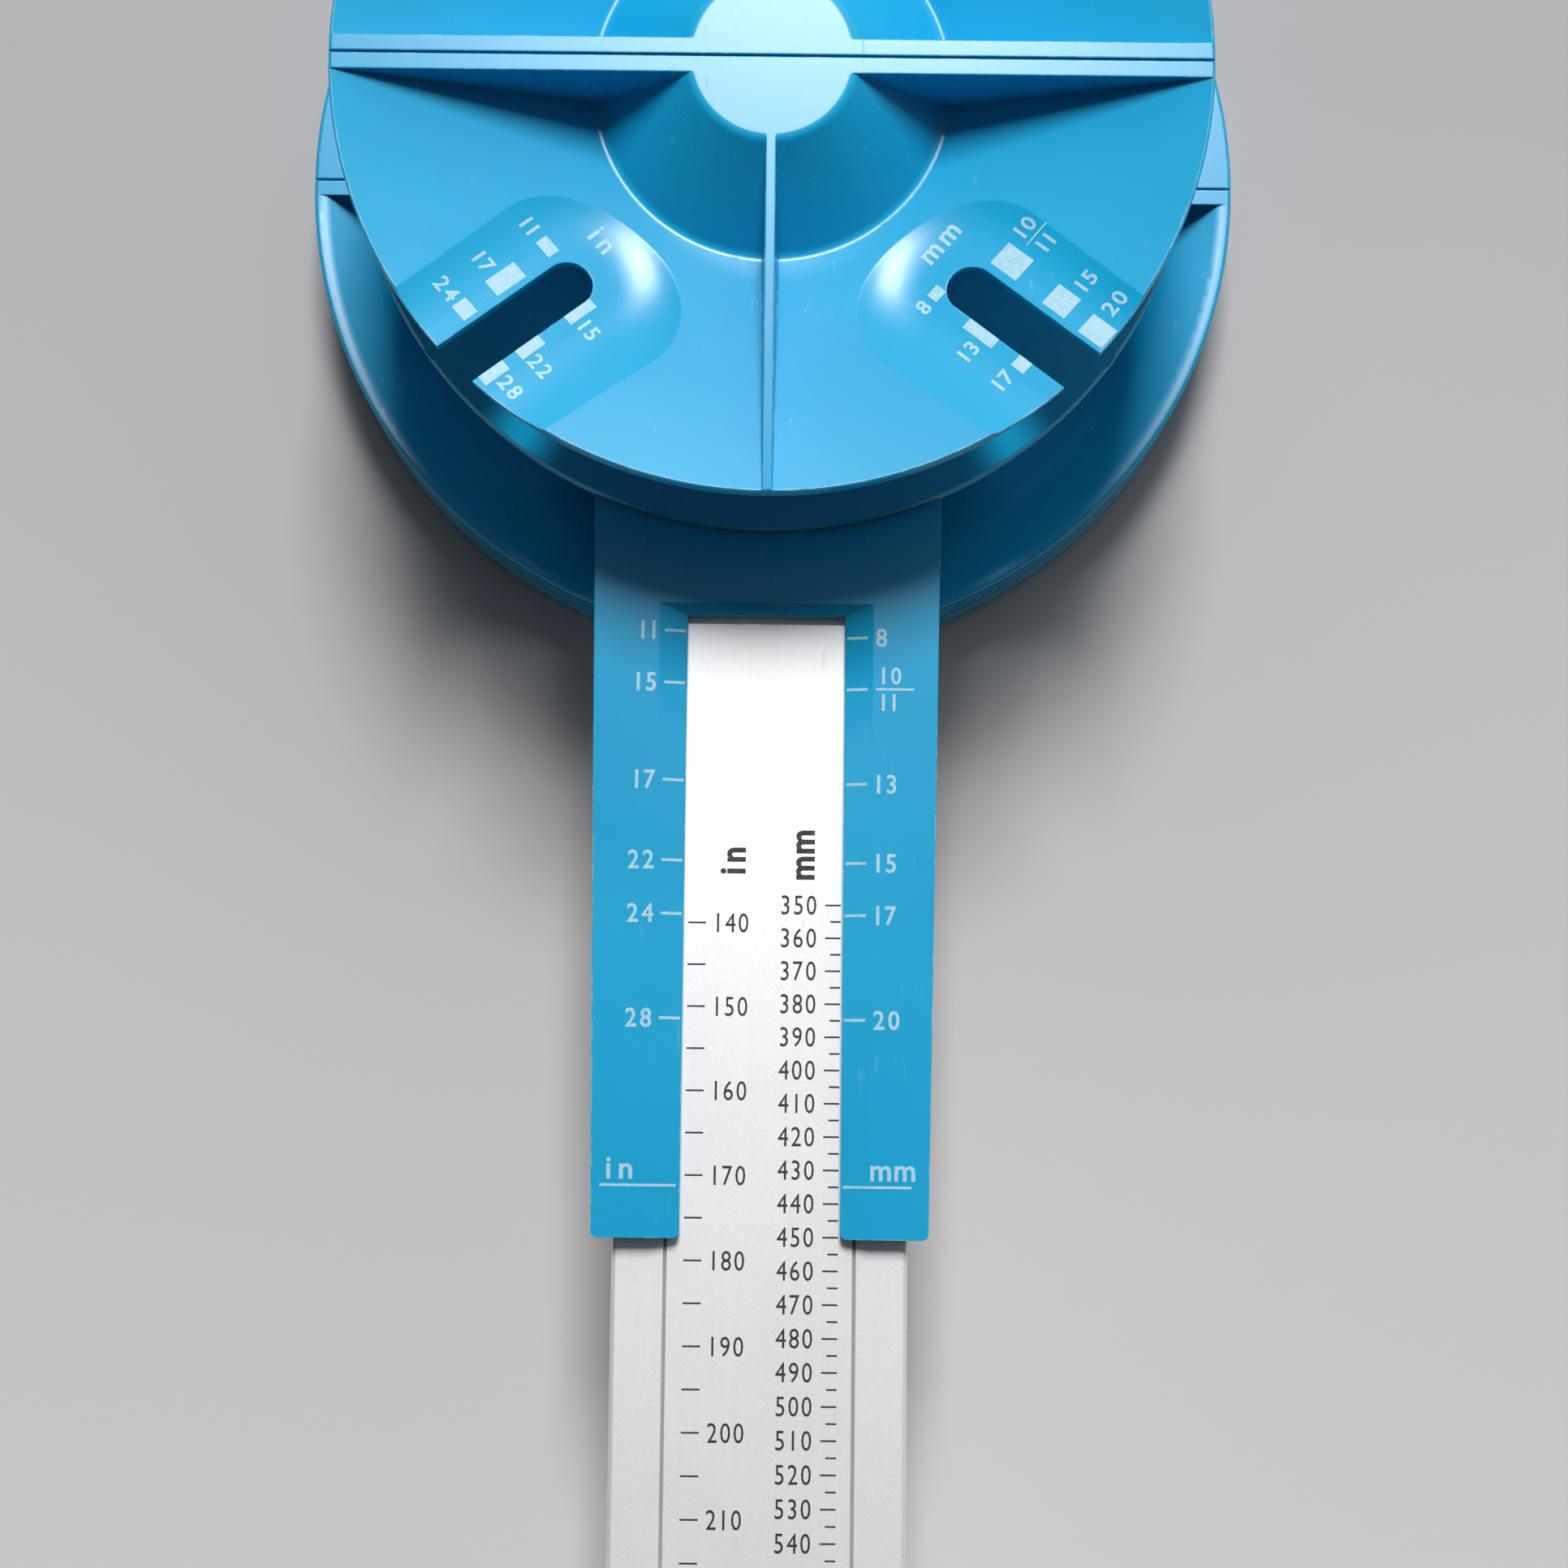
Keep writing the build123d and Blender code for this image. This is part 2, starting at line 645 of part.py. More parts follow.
# Screws through the fixed head's cheeks into the rail's side walls
with BuildPart() as rail_screws:
    for sign in (-1, 1):
        cheek_plane = Plane(origin=(sign * neck_half_width, split_y, rail_middle),
                            x_dir=(0, 1, 0), z_dir=(-sign, 0, 0))
        screws(cheek_plane, [(row, 0) for row in rail_screw_rows], screw_radius,
               neck_half_width - rail_width / 2 + rail_wall + rail_screw_reach, head_radius,
               head_height)
save(rail_screws, "rail_screws")

# End stop: plate with a foot, gussets and a plug in the rail's middle chamber
port_points = [(-rail_web_x, 0), (rail_web_x, 0)]
stop_face = Plane(origin=(0, rail_end_y - stop_plate, rail_middle), x_dir=(-1, 0, 0),
                  z_dir=(0, 1, 0))
with BuildPart() as end_stop:
    with BuildSketch(section(rail_end_y)):
        with BuildLine():
            Polyline((-stop_foot_half_width, 0), (-stop_foot_half_width, foot_height),
                     (-stop_half_width, rail_bottom), (-stop_half_width, rail_top + stop_top_margin),
                     (stop_half_width, rail_top + stop_top_margin), (stop_half_width, rail_bottom),
                     (stop_foot_half_width, foot_height), (stop_foot_half_width, 0), close=True)
        make_face()
        fillet(vertices().group_by(Axis.Y)[-1], stop_corner)
    extrude(amount=stop_plate)
    slab(rail_end_y - stop_plate, 1, -stop_foot_half_width, stop_foot_half_width, 0, foot_length,
         0, foot_height)
    for sign in (-1, 1):
        gusset_plane = Plane(origin=(sign * foot_gusset_x, rail_end_y, 0), x_dir=(0, 1, 0),
                             z_dir=(1, 0, 0))
        gusset_reach = foot_length - stop_plate - over
        with BuildSketch(gusset_plane):
            with BuildLine():
                Polyline((-over, foot_height - over), (gusset_reach, foot_height - over),
                         (gusset_reach, foot_height), (over, rail_bottom - over),
                         (-over, rail_bottom - over), close=True)
            make_face()
        extrude(amount=web_thickness / 2, both=True)
    plug_half_width = rail_web_x - port_boss_radius - plug_clearance
    plug_half_height = rail_height / 2 - rail_wall - plug_clearance
    slab(rail_end_y, 1, -plug_half_width, plug_half_width, -over, plug_length,
         rail_middle - plug_half_height, rail_middle + plug_half_height)
    rods(stop_face, port_points, stop_screw_radius + screw_clearance, stop_plate,
         mode=Mode.SUBTRACT)
save(end_stop, "end_stop")

with BuildPart() as end_stop_screws:
    screws(stop_face, port_points, stop_screw_radius, stop_screw_length, stop_head_radius,
           stop_head_height)
save(end_stop_screws, "end_stop_screws")
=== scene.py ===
"""Belt length ruler: satin blue mouldings and a pale aluminium rail with a printed scale."""
import json
import math

import bpy
from mathutils import Matrix, Vector
from mathutils.bvhtree import BVHTree


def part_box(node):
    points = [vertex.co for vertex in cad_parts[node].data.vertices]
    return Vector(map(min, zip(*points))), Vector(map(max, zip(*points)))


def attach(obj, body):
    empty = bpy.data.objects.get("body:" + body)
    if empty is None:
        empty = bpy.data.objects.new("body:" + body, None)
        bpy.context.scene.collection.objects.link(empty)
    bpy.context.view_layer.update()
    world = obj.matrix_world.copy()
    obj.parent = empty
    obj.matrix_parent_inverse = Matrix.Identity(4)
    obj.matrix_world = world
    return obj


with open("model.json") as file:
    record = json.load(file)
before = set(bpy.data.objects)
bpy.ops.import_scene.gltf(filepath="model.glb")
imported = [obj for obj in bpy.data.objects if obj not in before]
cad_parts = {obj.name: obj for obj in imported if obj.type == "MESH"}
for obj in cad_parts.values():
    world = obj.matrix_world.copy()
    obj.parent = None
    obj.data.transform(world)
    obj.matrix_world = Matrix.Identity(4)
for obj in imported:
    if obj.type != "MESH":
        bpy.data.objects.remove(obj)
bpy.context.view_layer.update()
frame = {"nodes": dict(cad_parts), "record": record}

MM = 0.001

# The middle of the narrow gap between the two heads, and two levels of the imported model
HEADS_GAP = 0.4 * MM
SPLIT_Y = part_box("fixed_top_flange")[0][1] - HEADS_GAP / 2
RAIL_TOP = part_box("rail")[1][2]
RIM_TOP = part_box("slider_top_flange")[1][2]

# The camera as fitted to the printed scale: its place is from the split on the rail's top,
# its angles are in radians
FRAME_PIXELS = 1932
FOCAL_PIXELS = 3800
CAMERA_PLACE = (2.925 * MM, -160.142 * MM, 467.854 * MM)
CAMERA_LEAN = 0.120428
CAMERA_ROLL = 0.011


# Camera

def place_camera():
    """Nearly overhead, a little towards the slider's arms, as the ruler lies on the bench."""
    lens = bpy.data.cameras.new("bench_camera")
    lens.lens = FOCAL_PIXELS / FRAME_PIXELS * lens.sensor_width
    lens.clip_end = 50
    camera = bpy.data.objects.new("bench_camera", lens)
    bpy.context.scene.collection.objects.link(camera)
    spot = Vector((0, SPLIT_Y, RAIL_TOP)) + Vector(CAMERA_PLACE)
    turn = Matrix.Rotation(CAMERA_LEAN, 4, "X") @ Matrix.Rotation(CAMERA_ROLL, 4, "Z")
    camera.matrix_world = Matrix.Translation(spot) @ turn
    bpy.context.scene.camera = camera


# Shader building

class Signal:
    """A socket in shader arithmetic: each operator on it adds one Math node."""

    def __init__(self, wiring, socket):
        self.wiring = wiring
        self.socket = socket

    def __add__(self, other):
        return self.wiring.math("ADD", self, other)

    def __radd__(self, other):
        return self.wiring.math("ADD", other, self)

    def __sub__(self, other):
        return self.wiring.math("SUBTRACT", self, other)

    def __rsub__(self, other):
        return self.wiring.math("SUBTRACT", other, self)

    def __mul__(self, other):
        return self.wiring.math("MULTIPLY", self, other)

    def __rmul__(self, other):
        return self.wiring.math("MULTIPLY", other, self)

    def __gt__(self, other):
        return self.wiring.math("GREATER_THAN", self, other)

    def __lt__(self, other):
        return self.wiring.math("LESS_THAN", self, other)


class Wiring:
    """Short ways to add nodes to one node tree."""

    def __init__(self, tree):
        self.tree = tree

    def node(self, kind, settings=(), sockets=(), out=0):
        """Add a node: its settings first, then values or links of its sockets."""
        made = self.tree.nodes.new("ShaderNode" + kind)
        for key, value in dict(settings).items():
            setattr(made, key, value)
        for key, value in dict(sockets).items():
            self.feed(made.inputs[key], value)
        return Signal(self, made.outputs[out])

    def feed(self, socket, value):
        """Link a signal to a socket, or set the socket to a plain value."""
        if isinstance(value, Signal):
            self.tree.links.new(value.socket, socket)
        else:
            socket.default_value = value

    def math(self, operation, first, second=0.0, clamp=False):
        """Work out a number from one or two others."""
        return self.node("Math", {"operation": operation, "use_clamp": clamp},
                         {0: first, 1: second})

    def vector(self, operation, *inputs, out="Vector"):
        """Work out a vector, or with out="Value" a number, from vectors."""
        return self.node("VectorMath", {"operation": operation}, enumerate(inputs), out)

    def axis(self, vector, name):
        """One of a vector's parts: X, Y or Z."""
        return self.node("SeparateXYZ", {}, {0: vector}, name)

    def clamp(self, signal):
        """Hold a number between 0 and 1."""
        return self.math("ADD", signal, 0.0, clamp=True)

    def mix(self, amount, under, over):
        """Blend two colours by an amount from 0 to 1."""
        under, over = [(*colour, 1) if isinstance(colour, tuple) else colour
                       for colour in (under, over)]
        return self.node("Mix", {"data_type": "RGBA"}, {0: amount, 6: under, 7: over}, 2)

    def ramp(self, signal, low, high):
        """0 at low, 1 at high, straight between them."""
        return self.node("MapRange", {}, {0: signal, 1: low, 2: high, 3: 0.0, 4: 1.0})


class Finish(Wiring):
    """One material on the principled shader."""

    def __init__(self, name, **constants):
        """Constants are the shader's own sockets, named with _ for a space."""
        self.material = bpy.data.materials.new(name)
        self.material.use_nodes = True
        super().__init__(self.material.node_tree)
        self.shader = self.tree.nodes["Principled BSDF"]
        for socket, value in constants.items():
            self.shader.inputs[socket.replace("_", " ")].default_value = value
        self.place = self.node("TexCoord", out="Object")

    def stretch(self, across, along, up):
        """The object's own place, scaled apart along its three axes."""
        return self.vector("MULTIPLY", self.place, (across, along, up))

    def noise(self, scale, detail=2.0, roughness=0.5, place=None):
        """Soft noise with about this many blotches to the metre."""
        return self.node("TexNoise", {}, {"Vector": place or self.place, "Scale": scale,
                                          "Detail": detail, "Roughness": roughness})

    def specks(self, scale, size):
        """Small round dots, 1 inside and 0 outside, one to each cell."""
        cell = self.node("TexVoronoi", {}, {"Vector": self.place, "Scale": scale})
        return cell < size

    def rounded(self, radius):
        """The surface's normal with its edges eased to this radius in millimetres."""
        return self.node("Bevel", {"samples": 6}, {"Radius": radius * MM})

    def edges(self, radius):
        """0 on open faces and more towards an edge."""
        flat = self.node("NewGeometry", out="Normal")
        return 1 - self.vector("DOT_PRODUCT", flat, self.rounded(radius), out="Value")

    def bump(self, height, strength, distance, normal=None):
        """A small relief, its distance in millimetres, that feeds the shader's normal."""
        links = {"Height": height, "Strength": strength, "Distance": distance * MM}
        if normal:
            links["Normal"] = normal
        return self.node("Bump", {}, links)

    def wear(self, base, rough, relief=None):
        """Feed the shader's colour, roughness and normal."""
        self.feed(self.shader.inputs["Base Color"], base)
        self.feed(self.shader.inputs["Roughness"], rough)
        if relief:
            self.feed(self.shader.inputs["Normal"], relief)
        return self.material


# Materials

def bowl_lip(finish):
    """How far the bowl's soft lip is turned towards level, by the distance from its middle."""
    lip_starts, lip_ends, rim = 60 * MM, 68 * MM, 75.4 * MM
    most = 0.7
    flat = finish.vector("MULTIPLY", finish.place, (1, 1, 0))
    reach = finish.vector("DISTANCE", flat, (0, SPLIT_Y, 0), out="Value")
    return finish.ramp(reach, lip_starts, lip_ends) * (reach < rim) * most


def arm_flanks(finish):
    """How far the flanks beside the reading window run out to level along the arms."""
    run_out_starts, run_out_ends = SPLIT_Y - 84 * MM, SPLIT_Y - 100 * MM
    most = 0.95
    upward = finish.axis(finish.node("NewGeometry", out="Normal"), "Z") > 0.8
    along = finish.axis(finish.place, "Y")
    return upward * finish.ramp(along, run_out_starts, run_out_ends) * most


def moulded_blue(name, levelled=None):
    """Satin moulded plastic: flow clouds, fine grain, hair scuffs, dust and chipped edges.

    levelled gives how far the shading is turned towards a level face at each place.
    """
    finish = Finish(name, IOR=1.5)
    clouds = finish.noise(24.0, 3.0)
    fine = finish.noise(900.0, 2.0)
    grain = finish.noise(2600.0, 2.0, 0.6)
    base = finish.mix(finish.ramp(clouds, 0.35, 0.65), (0.005, 0.37, 0.67), (0.008, 0.405, 0.72))
    dust = finish.specks(300.0, 0.03) * finish.ramp(finish.noise(50.0), 0.52, 0.6)
    hairs = finish.noise(1.0, 2.0, 0.5, finish.stretch(1300.0, 90.0, 1300.0))
    scuffs = finish.ramp(hairs, 0.66, 0.72) * finish.ramp(finish.noise(70.0, 2.0), 0.52, 0.62)
    edge = finish.ramp(finish.edges(0.4), 0.03, 0.12)
    chips = edge * finish.ramp(finish.noise(380.0, 3.0), 0.56, 0.6)
    base = finish.mix(dust * 0.4, base, (0.45, 0.62, 0.7))
    base = finish.mix(scuffs * 0.16, base, (0.3, 0.6, 0.75))
    base = finish.mix(finish.clamp(chips * 0.7), base, (0.3, 0.66, 0.75))
    rough = 0.235 + clouds * 0.03 + fine * 0.03 + scuffs * 0.1 + dust * 0.3
    shape = finish.rounded(0.35)
    if levelled:
        shape = finish.node("Mix", {"data_type": "VECTOR"},
                            {0: levelled(finish), 4: shape, 5: (0, 0, 1)}, out=1)
        shape = finish.vector("NORMALIZE", shape)
    return finish.wear(base, rough, finish.bump(grain * 0.5 + fine * 0.5, 0.08, 0.02, shape))


def rail_silver():
    """Pale anodised extrusion: blasted grain, draw lines, dark scratches and painted shade in the
    grooves.
    """
    groove_high, groove_low = RAIL_TOP - 0.06 * MM, RAIL_TOP - 0.6 * MM
    groove_side = 15.5 * MM
    finish = Finish("rail_silver", Metallic=0.42, IOR=1.6)
    grain = finish.noise(2400.0, 3.0, 0.7)
    patches = finish.noise(45.0, 4.0, 0.6)
    draw = finish.noise(1.0, 2.0, 0.5, finish.stretch(1500.0, 22.0, 1500.0))
    marks = finish.noise(1.0, 1.0, 0.4, finish.stretch(900.0, 130.0, 900.0))
    scratches = finish.ramp(marks, 0.74, 0.78) * finish.ramp(patches, 0.55, 0.6)
    aside = finish.math("ABSOLUTE", finish.axis(finish.place, "X"))
    height = finish.axis(finish.place, "Z")
    # The grooves beside the scale: where painted shade goes, and rougher there.
    groove_shade = (height < groove_high) * (height > groove_low) * (aside < groove_side)
    base = finish.mix(finish.ramp(grain, 0.3, 0.7), (0.9, 0.905, 0.915), (0.985, 0.985, 0.99))
    base = finish.mix(finish.ramp(patches, 0.4, 0.75) * 0.12, base, (0.62, 0.64, 0.66))
    base = finish.mix(scratches * 0.2, base, (0.25, 0.25, 0.26))
    # Painted shade: the grooves are painted dark grey where shade lies in them.
    base = finish.mix(groove_shade * 0.55, base, (0.22, 0.22, 0.225))
    rough = 0.36 + grain * 0.12 + draw * 0.06 + groove_shade * 0.3
    return finish.wear(base, rough, finish.bump(grain * 0.7 + draw * 0.3, 0.22, 0.02))


def print_ink(name, shade, thin, rough):
    """Screen-printed ink, a little thin in places so that what it lies on shows through."""
    finish = Finish(name)
    body = finish.ramp(finish.noise(1500.0, 3.0, 0.6), 0.3, 0.62)
    return finish.wear(finish.mix(body, thin, shade), rough + body * 0.1)


def machined(name, shade, rough, scale):
    """Turned or drawn metal with fine tool lines and slightly dull patches."""
    finish = Finish(name, Metallic=1.0)
    lines = finish.noise(scale, 2.0, 0.6)
    dull = finish.noise(120.0, 3.0)
    darker = tuple(0.72 * part for part in shade)
    base = finish.mix(finish.ramp(dull, 0.4, 0.7) * 0.6, shade, darker)
    return finish.wear(base, rough + dull * 0.15, finish.bump(lines, 0.2, 0.01))


def slippery_plastic():
    """Off-white bearing plastic with machining lines and a polished look."""
    finish = Finish("slippery_plastic")
    lines = finish.noise(1.0, 2.0, 0.5, finish.stretch(300.0, 2500.0, 300.0))
    base = finish.mix(finish.ramp(lines, 0.3, 0.7), (0.7, 0.68, 0.61), (0.82, 0.8, 0.74))
    return finish.wear(base, 0.42 + lines * 0.1, finish.bump(lines, 0.15, 0.01))


# Printed marks

class Glyphs:
    """Flat outlines of plain figures, each made once and then set wherever it is needed."""

    def __init__(self, weight):
        self.weight = weight
        self.made = {}

    def shape(self, letter):
        """One figure's points and faces, and where it starts and ends, in the font's own units."""
        if letter not in self.made:
            curve = bpy.data.curves.new("figure", "FONT")
            curve.body = letter
            curve.resolution_u = 3
            curve.offset = self.weight
            stand = bpy.data.objects.new("figure", curve)
            bpy.context.scene.collection.objects.link(stand)
            bpy.context.view_layer.update()
            mesh = bpy.data.meshes.new_from_object(
                stand.evaluated_get(bpy.context.evaluated_depsgraph_get()))
            points = [(point.co.x, point.co.y) for point in mesh.vertices]
            faces = [tuple(face.vertices) for face in mesh.polygons]
            bpy.data.objects.remove(stand)
            bpy.data.meshes.remove(mesh)
            bpy.data.curves.remove(curve)
            left = min(x for x, _ in points)
            right = max(x for x, _ in points)
            self.made[letter] = (points, faces, left, right)
        return self.made[letter]


class Print:
    """Marks that lie on one piece: bars and figures, placed in millimetres from the split."""

    DROP_FROM = 200 * MM
    LIFT = 0.035 * MM

    def __init__(self, name, node, body, ink, glyphs):
        self.name, self.node, self.body, self.ink, self.glyphs = name, node, body, ink, glyphs
        self.points, self.faces = [], []

    def add(self, points, faces, place):
        """Add faces whose points are turned and moved by place."""
        first = len(self.points)
        self.points += [place @ Vector((x, y, 0)) for x, y in points]
        self.faces += [tuple(first + corner for corner in face) for face in faces]

    def bar(self, x_low, x_high, y, width, place=Matrix()):
        """A straight stroke of one width."""
        low, high = y - width / 2, y + width / 2
        self.add([(x_low, low), (x_high, low), (x_high, high), (x_low, high)], [(0, 1, 2, 3)],
                 place)

    def figures(self, words, x, y, height, pitch, align="left", place=Matrix(), narrow=1.0,
                slim=0.74):
        """Figures of one height, centred on y, one pitch apart, where a 1 takes slim of a pitch."""
        levels = [point[1] for point in self.glyphs.shape("0")[0]]
        foot = min(levels)
        size = height / (max(levels) - foot)
        steps = [pitch * (slim if letter == "1" else 1) for letter in words]
        start = x - {"left": 0, "middle": 0.5, "right": 1}[align] * sum(steps)
        for count, letter in enumerate(words):
            points, faces, left, right = self.glyphs.shape(letter)
            middle = start + sum(steps[:count]) + steps[count] / 2
            self.add([(middle + (px - (left + right) / 2) * size * narrow,
                       y - height / 2 + (py - foot) * size) for px, py in points], faces, place)

    def lay(self):
        """Drop every point on the piece below it, a hair above its face, and make the mesh."""
        below = frame["nodes"][self.node].data
        surface = BVHTree.FromPolygons([point.co for point in below.vertices],
                                       [face.vertices for face in below.polygons])
        laid = []
        for point in self.points:
            over = Vector((point.x * MM, SPLIT_Y + point.y * MM, self.DROP_FROM))
            hit = surface.ray_cast(over, Vector((0, 0, -1)))[0]
            laid.append(Vector((over.x, over.y, (hit.z if hit else RAIL_TOP) + self.LIFT)))
        mesh = bpy.data.meshes.new(self.name)
        mesh.from_pydata(laid, [], self.faces)
        mesh.materials.append(self.ink)
        piece = bpy.data.objects.new(self.name, mesh)
        bpy.context.scene.collection.objects.link(piece)
        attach(piece, self.body)


def rail_scale(ink, glyphs, bold):
    """Belt length in millimetres on the right and tenths of an inch on the left of the rail.

    A belt has two runs, so ten millimetres of belt take five millimetres of rail.
    """
    zero = 52.95
    runs, inch = 2, 25.4
    first_length, last_length, length_step = 350, 1820, 5
    first_half_inch, last_half_inch = 28, 143
    long_tick, short_tick, tick_end, number_end = 9.42, 10.19, 11.77, 8.3
    inch_tick, inch_tick_end, inch_number = -11.4, -8.69, -7.75
    stroke, height, pitch, narrow = 0.26, 2.95, 1.98, 0.8
    scale = Print("rail_scale", "rail", "frame", ink, glyphs)
    for length in range(first_length, last_length + 1, length_step):
        y = zero - length / runs
        numbered = length % 10 == 0
        scale.bar(long_tick if numbered else short_tick, tick_end, y, stroke)
        if numbered:
            scale.figures(str(length), number_end, y, height, pitch, "right", narrow=narrow,
                          slim=1)
    for half_inches in range(first_half_inch, last_half_inch + 1):
        y = zero - half_inches / 2 * inch / runs
        scale.bar(inch_tick, inch_tick_end, y, stroke)
        if half_inches % 2 == 0:
            tenths = half_inches * 5
            scale.figures(str(tenths), inch_number, y, height, pitch, narrow=narrow, slim=0.9)
    scale.lay()
    units = Print("rail_units", "rail", "frame", ink, bold)
    for word, x, foot, wide in (("mm", 5.7, -118.4, 4.0), ("in", -4.8, -118.2, 2.5)):
        place = Matrix.Translation((x, foot, 0)) @ Matrix.Rotation(math.pi / 2, 4, "Z")
        units.figures(word, 0, 0, 4.2, wide, place=place, narrow=0.9)
    units.lay()


def arm_marks(ink, glyphs):
    """Belt section numbers beside the reading window and the two reading lines.

    The tables give each tick's place along the arm and its number. The tick without a number has
    a 10 over an 11. A reading line is in two lengths, because the arm's face bends at its flank.
    """
    left = ((-80.43, "11"), (-88.45, "15"), (-103.39, "17"), (-115.63, "22"), (-123.74, "24"),
            (-139.51, "28"))
    right = ((-81.32, "8"), (-89.27, ""), (-103.83, "13"), (-115.88, "15"), (-123.81, "17"),
             (-139.58, "20"))
    reading_lines = ((-24.0, -16.36), (-16.34, -12.65), (12.4, 16.34), (16.36, 22.6))
    tick_inner, tick_outer, left_number, right_number = 12.35, 15.5, -16.35, 16.45
    fraction_y, reading_y, word_y = -89.27, -164.5, -161.9
    stroke, height, pitch, narrow = 0.45, 2.95, 2.25, 0.9
    marks = Print("arm_marks", "slider_base", "slider", ink, glyphs)
    for y, number in left:
        marks.bar(-tick_outer, -tick_inner, y, stroke)
        marks.figures(number, left_number, y, height, pitch, "right", narrow=narrow)
    for y, number in right:
        marks.bar(tick_inner, tick_outer, y, stroke)
        marks.figures(number, right_number, y, height, pitch, narrow=narrow)
    for number, y in (("10", -87.2), ("11", -91.3)):
        marks.figures(number, 17.1, y, 2.7, 2.2, narrow=narrow)
    marks.bar(16.8, 22.6, fraction_y, 0.35)
    for x_low, x_high in reading_lines:
        marks.bar(x_low, x_high, reading_y, 0.4)
    marks.figures("in", -24.0, word_y, 3.5, 2.6)
    marks.figures("mm", 16.2, word_y, 3.5, 3.6, narrow=0.95)
    marks.lay()


def slot_marks(ink, glyphs):
    """Blocks and section numbers along the two gauge slots.

    Each row gives a block's place along its slot from the slot's round end, its length, its near
    and far edge across the slot, its number and where the number stands along and across. The
    block without a number has a 10 over an 11.
    """
    left = ((-1.4, 2.0, 4.9, 7.9, "11", -1.4, 10.4), (6.8, 5.35, 4.5, 7.4, "17", 7.6, 9.9),
            (14.55, 2.5, 4.3, 7.1, "24", 14.6, 9.7), (1.5, 4.9, -3.75, -5.4, "15", 2.4, -7.6),
            (10.9, 4.3, -3.75, -5.5, "22", 11.7, -7.8), (17.6, 4.4, -3.75, -5.5, "28", 17.2, -7.8))
    right = ((1.9, 4.8, 4.8, 8.9, "", 0, 0), (11.7, 4.15, 4.5, 8.3, "15", 12.4, 10.9),
             (18.8, 4.4, 4.2, 7.7, "20", 17.9, 10.7), (-3.4, 1.8, -2.7, -4.9, "8", -3.4, -6.7),
             (5.9, 5.5, -3.75, -5.6, "13", 6.4, -8.0), (13.75, 2.35, -3.75, -5.8, "17", 13.3, -8.4))
    slot_turn = math.radians(41.7)
    end_x, end_y = 29.8, -32.3
    height, pitch = 2.5, 2.05
    marks = Print("slot_marks", "slider_top_flange", "slider", ink, glyphs)
    for side, blocks, unit, wide in ((-1, left, "in", 2.4), (1, right, "mm", 3.9)):
        to_slot = (Matrix.Translation((side * end_x, end_y, 0))
                   @ Matrix.Rotation(side * (math.pi / 2 - slot_turn), 4, "Z"))

        def spot(along, across):
            return to_slot @ Matrix.Translation((side * across, -along, 0))

        for along, length, near, far, number, at, out in blocks:
            depth = abs(far - near)
            marks.bar(-depth / 2, depth / 2, 0, length, spot(along, (near + far) / 2))
            marks.figures(number, 0, 0, height, pitch, "middle", spot(at, out))
        marks.figures(unit, 0, 0, 3.3, wide, "middle", spot(-8.6, 2.6))
        if blocks is right:
            marks.figures("10", 0, 0, height, pitch, "middle", spot(-0.2, 12.0))
            marks.figures("11", 0, 0, height, pitch, "middle", spot(3.8, 12.0))
            marks.bar(-2.1, 2.1, 0, 0.25, spot(1.85, 12.2))
    marks.lay()


# Bench and light

def bench():
    """A large pale grey bench top with painted shading: darker beyond the fixed head than by the
    slider.

    Far from the ruler it glows faintly for the camera and in reflections, and lights nothing.
    """
    reach, level = 40, -0.3 * MM
    mesh = bpy.data.meshes.new("bench_top")
    mesh.from_pydata([(-reach, -reach, level), (reach, -reach, level), (reach, reach, level),
                      (-reach, reach, level)], [], [(0, 1, 2, 3)])
    finish = Finish("bench_grey", Roughness=0.8, Emission_Strength=1.0)
    tone = finish.noise(9.0, 3.0, 0.5)
    # Painted light falloff: the bench's colour darkens beyond the fixed head and pales by the
    # slider.
    painted_falloff = finish.ramp(finish.axis(finish.place, "Y"), SPLIT_Y + 0.03, SPLIT_Y - 0.25)
    base = finish.mix(painted_falloff, (0.44, 0.435, 0.44), (0.71, 0.69, 0.685))
    base = finish.mix(tone * 0.1, base, (0.7, 0.68, 0.67))
    away = finish.ramp(finish.vector("LENGTH", finish.place, out="Value"), 0.6, 2.6)
    seen = finish.clamp(finish.node("LightPath", out="Is Camera Ray")
                        + finish.node("LightPath", out="Is Glossy Ray"))
    glow = finish.mix(away * seen, (0, 0, 0), (0.36, 0.355, 0.355))
    finish.feed(finish.shader.inputs["Base Color"], base)
    finish.feed(finish.shader.inputs["Emission Color"], glow)
    mesh.materials.append(finish.material)
    top = bpy.data.objects.new("bench_top", mesh)
    bpy.context.scene.collection.objects.link(top)


def window():
    """A flat panel high beyond the fixed head, placed and sized by angles seen from the hub."""
    aside, ahead = math.radians(1.7), math.radians(29.6)
    width, height = math.radians(13.5), math.radians(19.8)
    distance = 1.8
    radiance = 37.5
    toward = Vector((math.tan(aside), math.tan(ahead), 1)).normalized()
    light = bpy.data.lights.new("window_panel", "AREA")
    light.shape = "RECTANGLE"
    light.size = 2 * distance * math.tan(width / 2)
    light.size_y = 2 * distance * math.tan(height / 2)
    light.energy = radiance * math.pi * light.size * light.size_y
    light.color = (1.0, 0.995, 1.0)
    panel = bpy.data.objects.new("window_panel", light)
    panel.location = Vector((0, SPLIT_Y, RIM_TOP)) + toward * distance
    panel.rotation_euler = toward.to_track_quat("Z", "Y").to_euler()
    bpy.context.scene.collection.objects.link(panel)


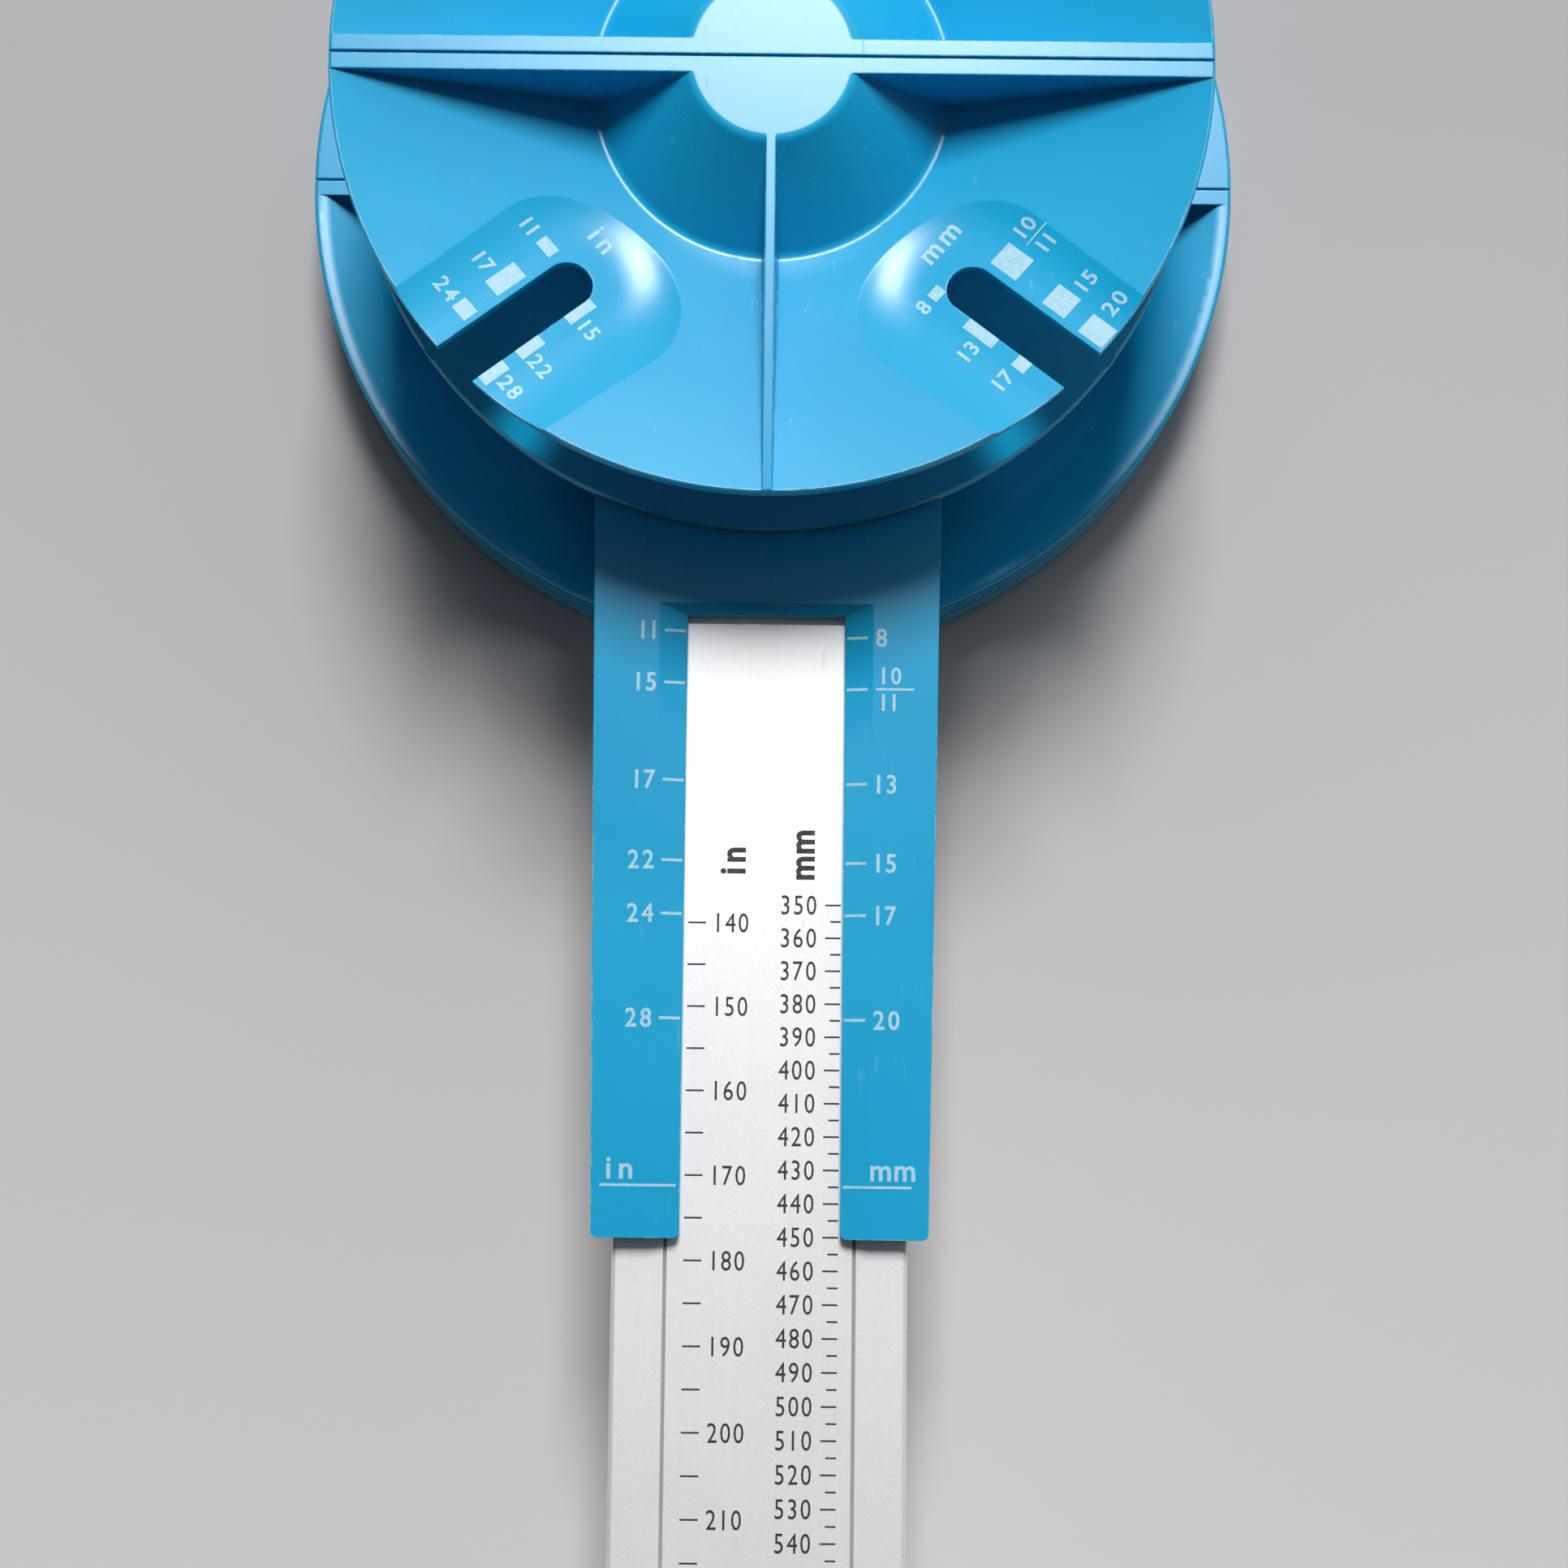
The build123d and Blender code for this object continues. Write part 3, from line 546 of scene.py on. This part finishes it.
def surroundings():
    """A room that is pale beyond the fixed head and overhead, and darkens towards the slider."""
    dim, wall, ceiling, background = 0.035, 0.95, 0.12, 0.8
    pale_side = (0.34, 0.94, 0.0)
    world = bpy.data.worlds.new("room")
    bpy.context.scene.world = world
    world.use_nodes = True
    room = Wiring(world.node_tree)
    toward = room.node("TexCoord", out="Generated")
    beyond = room.vector("DOT_PRODUCT", toward, pale_side, out="Value")
    above = room.axis(toward, "Z")
    strength = dim + room.ramp(beyond, 0.2, 0.95) * wall + room.ramp(above, 0.9, 0.98) * ceiling
    seen = room.node("LightPath", out="Is Camera Ray")
    shader = world.node_tree.nodes["Background"]
    shader.inputs["Color"].default_value = (0.99, 0.99, 0.96, 1)
    room.feed(shader.inputs["Strength"], strength * (1 - seen) + seen * background)


# Assembly

place_camera()
bpy.context.scene.view_settings.view_transform = "Standard"
window()
surroundings()
bench()

blue = moulded_blue("moulded_blue")
levelled_blues = {"slider_drum": moulded_blue("bowl_blue", bowl_lip),
                  "slider_base": moulded_blue("arm_blue", arm_flanks)}
finishes = {"blue_plastic": blue,
            "stop_plastic": blue,
            "rail_metal": rail_silver(),
            "screw_steel": machined("zinc_steel", (0.62, 0.62, 0.64), 0.3, 1800.0),
            "insert_brass": machined("insert_brass", (0.78, 0.6, 0.28), 0.26, 1500.0),
            "spring_steel": machined("spring_strip", (0.42, 0.43, 0.46), 0.24, 2200.0),
            "pad_plastic": slippery_plastic()}
slot_of = {part["node"]: part["material_slot"] for part in frame["record"]["subparts"]}
for node, piece in frame["nodes"].items():
    for holder in piece.material_slots:
        holder.material = levelled_blues.get(node) or finishes[slot_of[node]]

scale_ink = print_ink("scale_ink", (0.012, 0.012, 0.015), (0.05, 0.05, 0.055), 0.5)
mark_paint = print_ink("mark_paint", (0.45, 0.72, 0.84), (0.3, 0.62, 0.78), 0.42)
rail_scale(scale_ink, Glyphs(0.0), Glyphs(0.03))
arm_marks(mark_paint, Glyphs(0.018))
slot_marks(mark_paint, Glyphs(0.024))
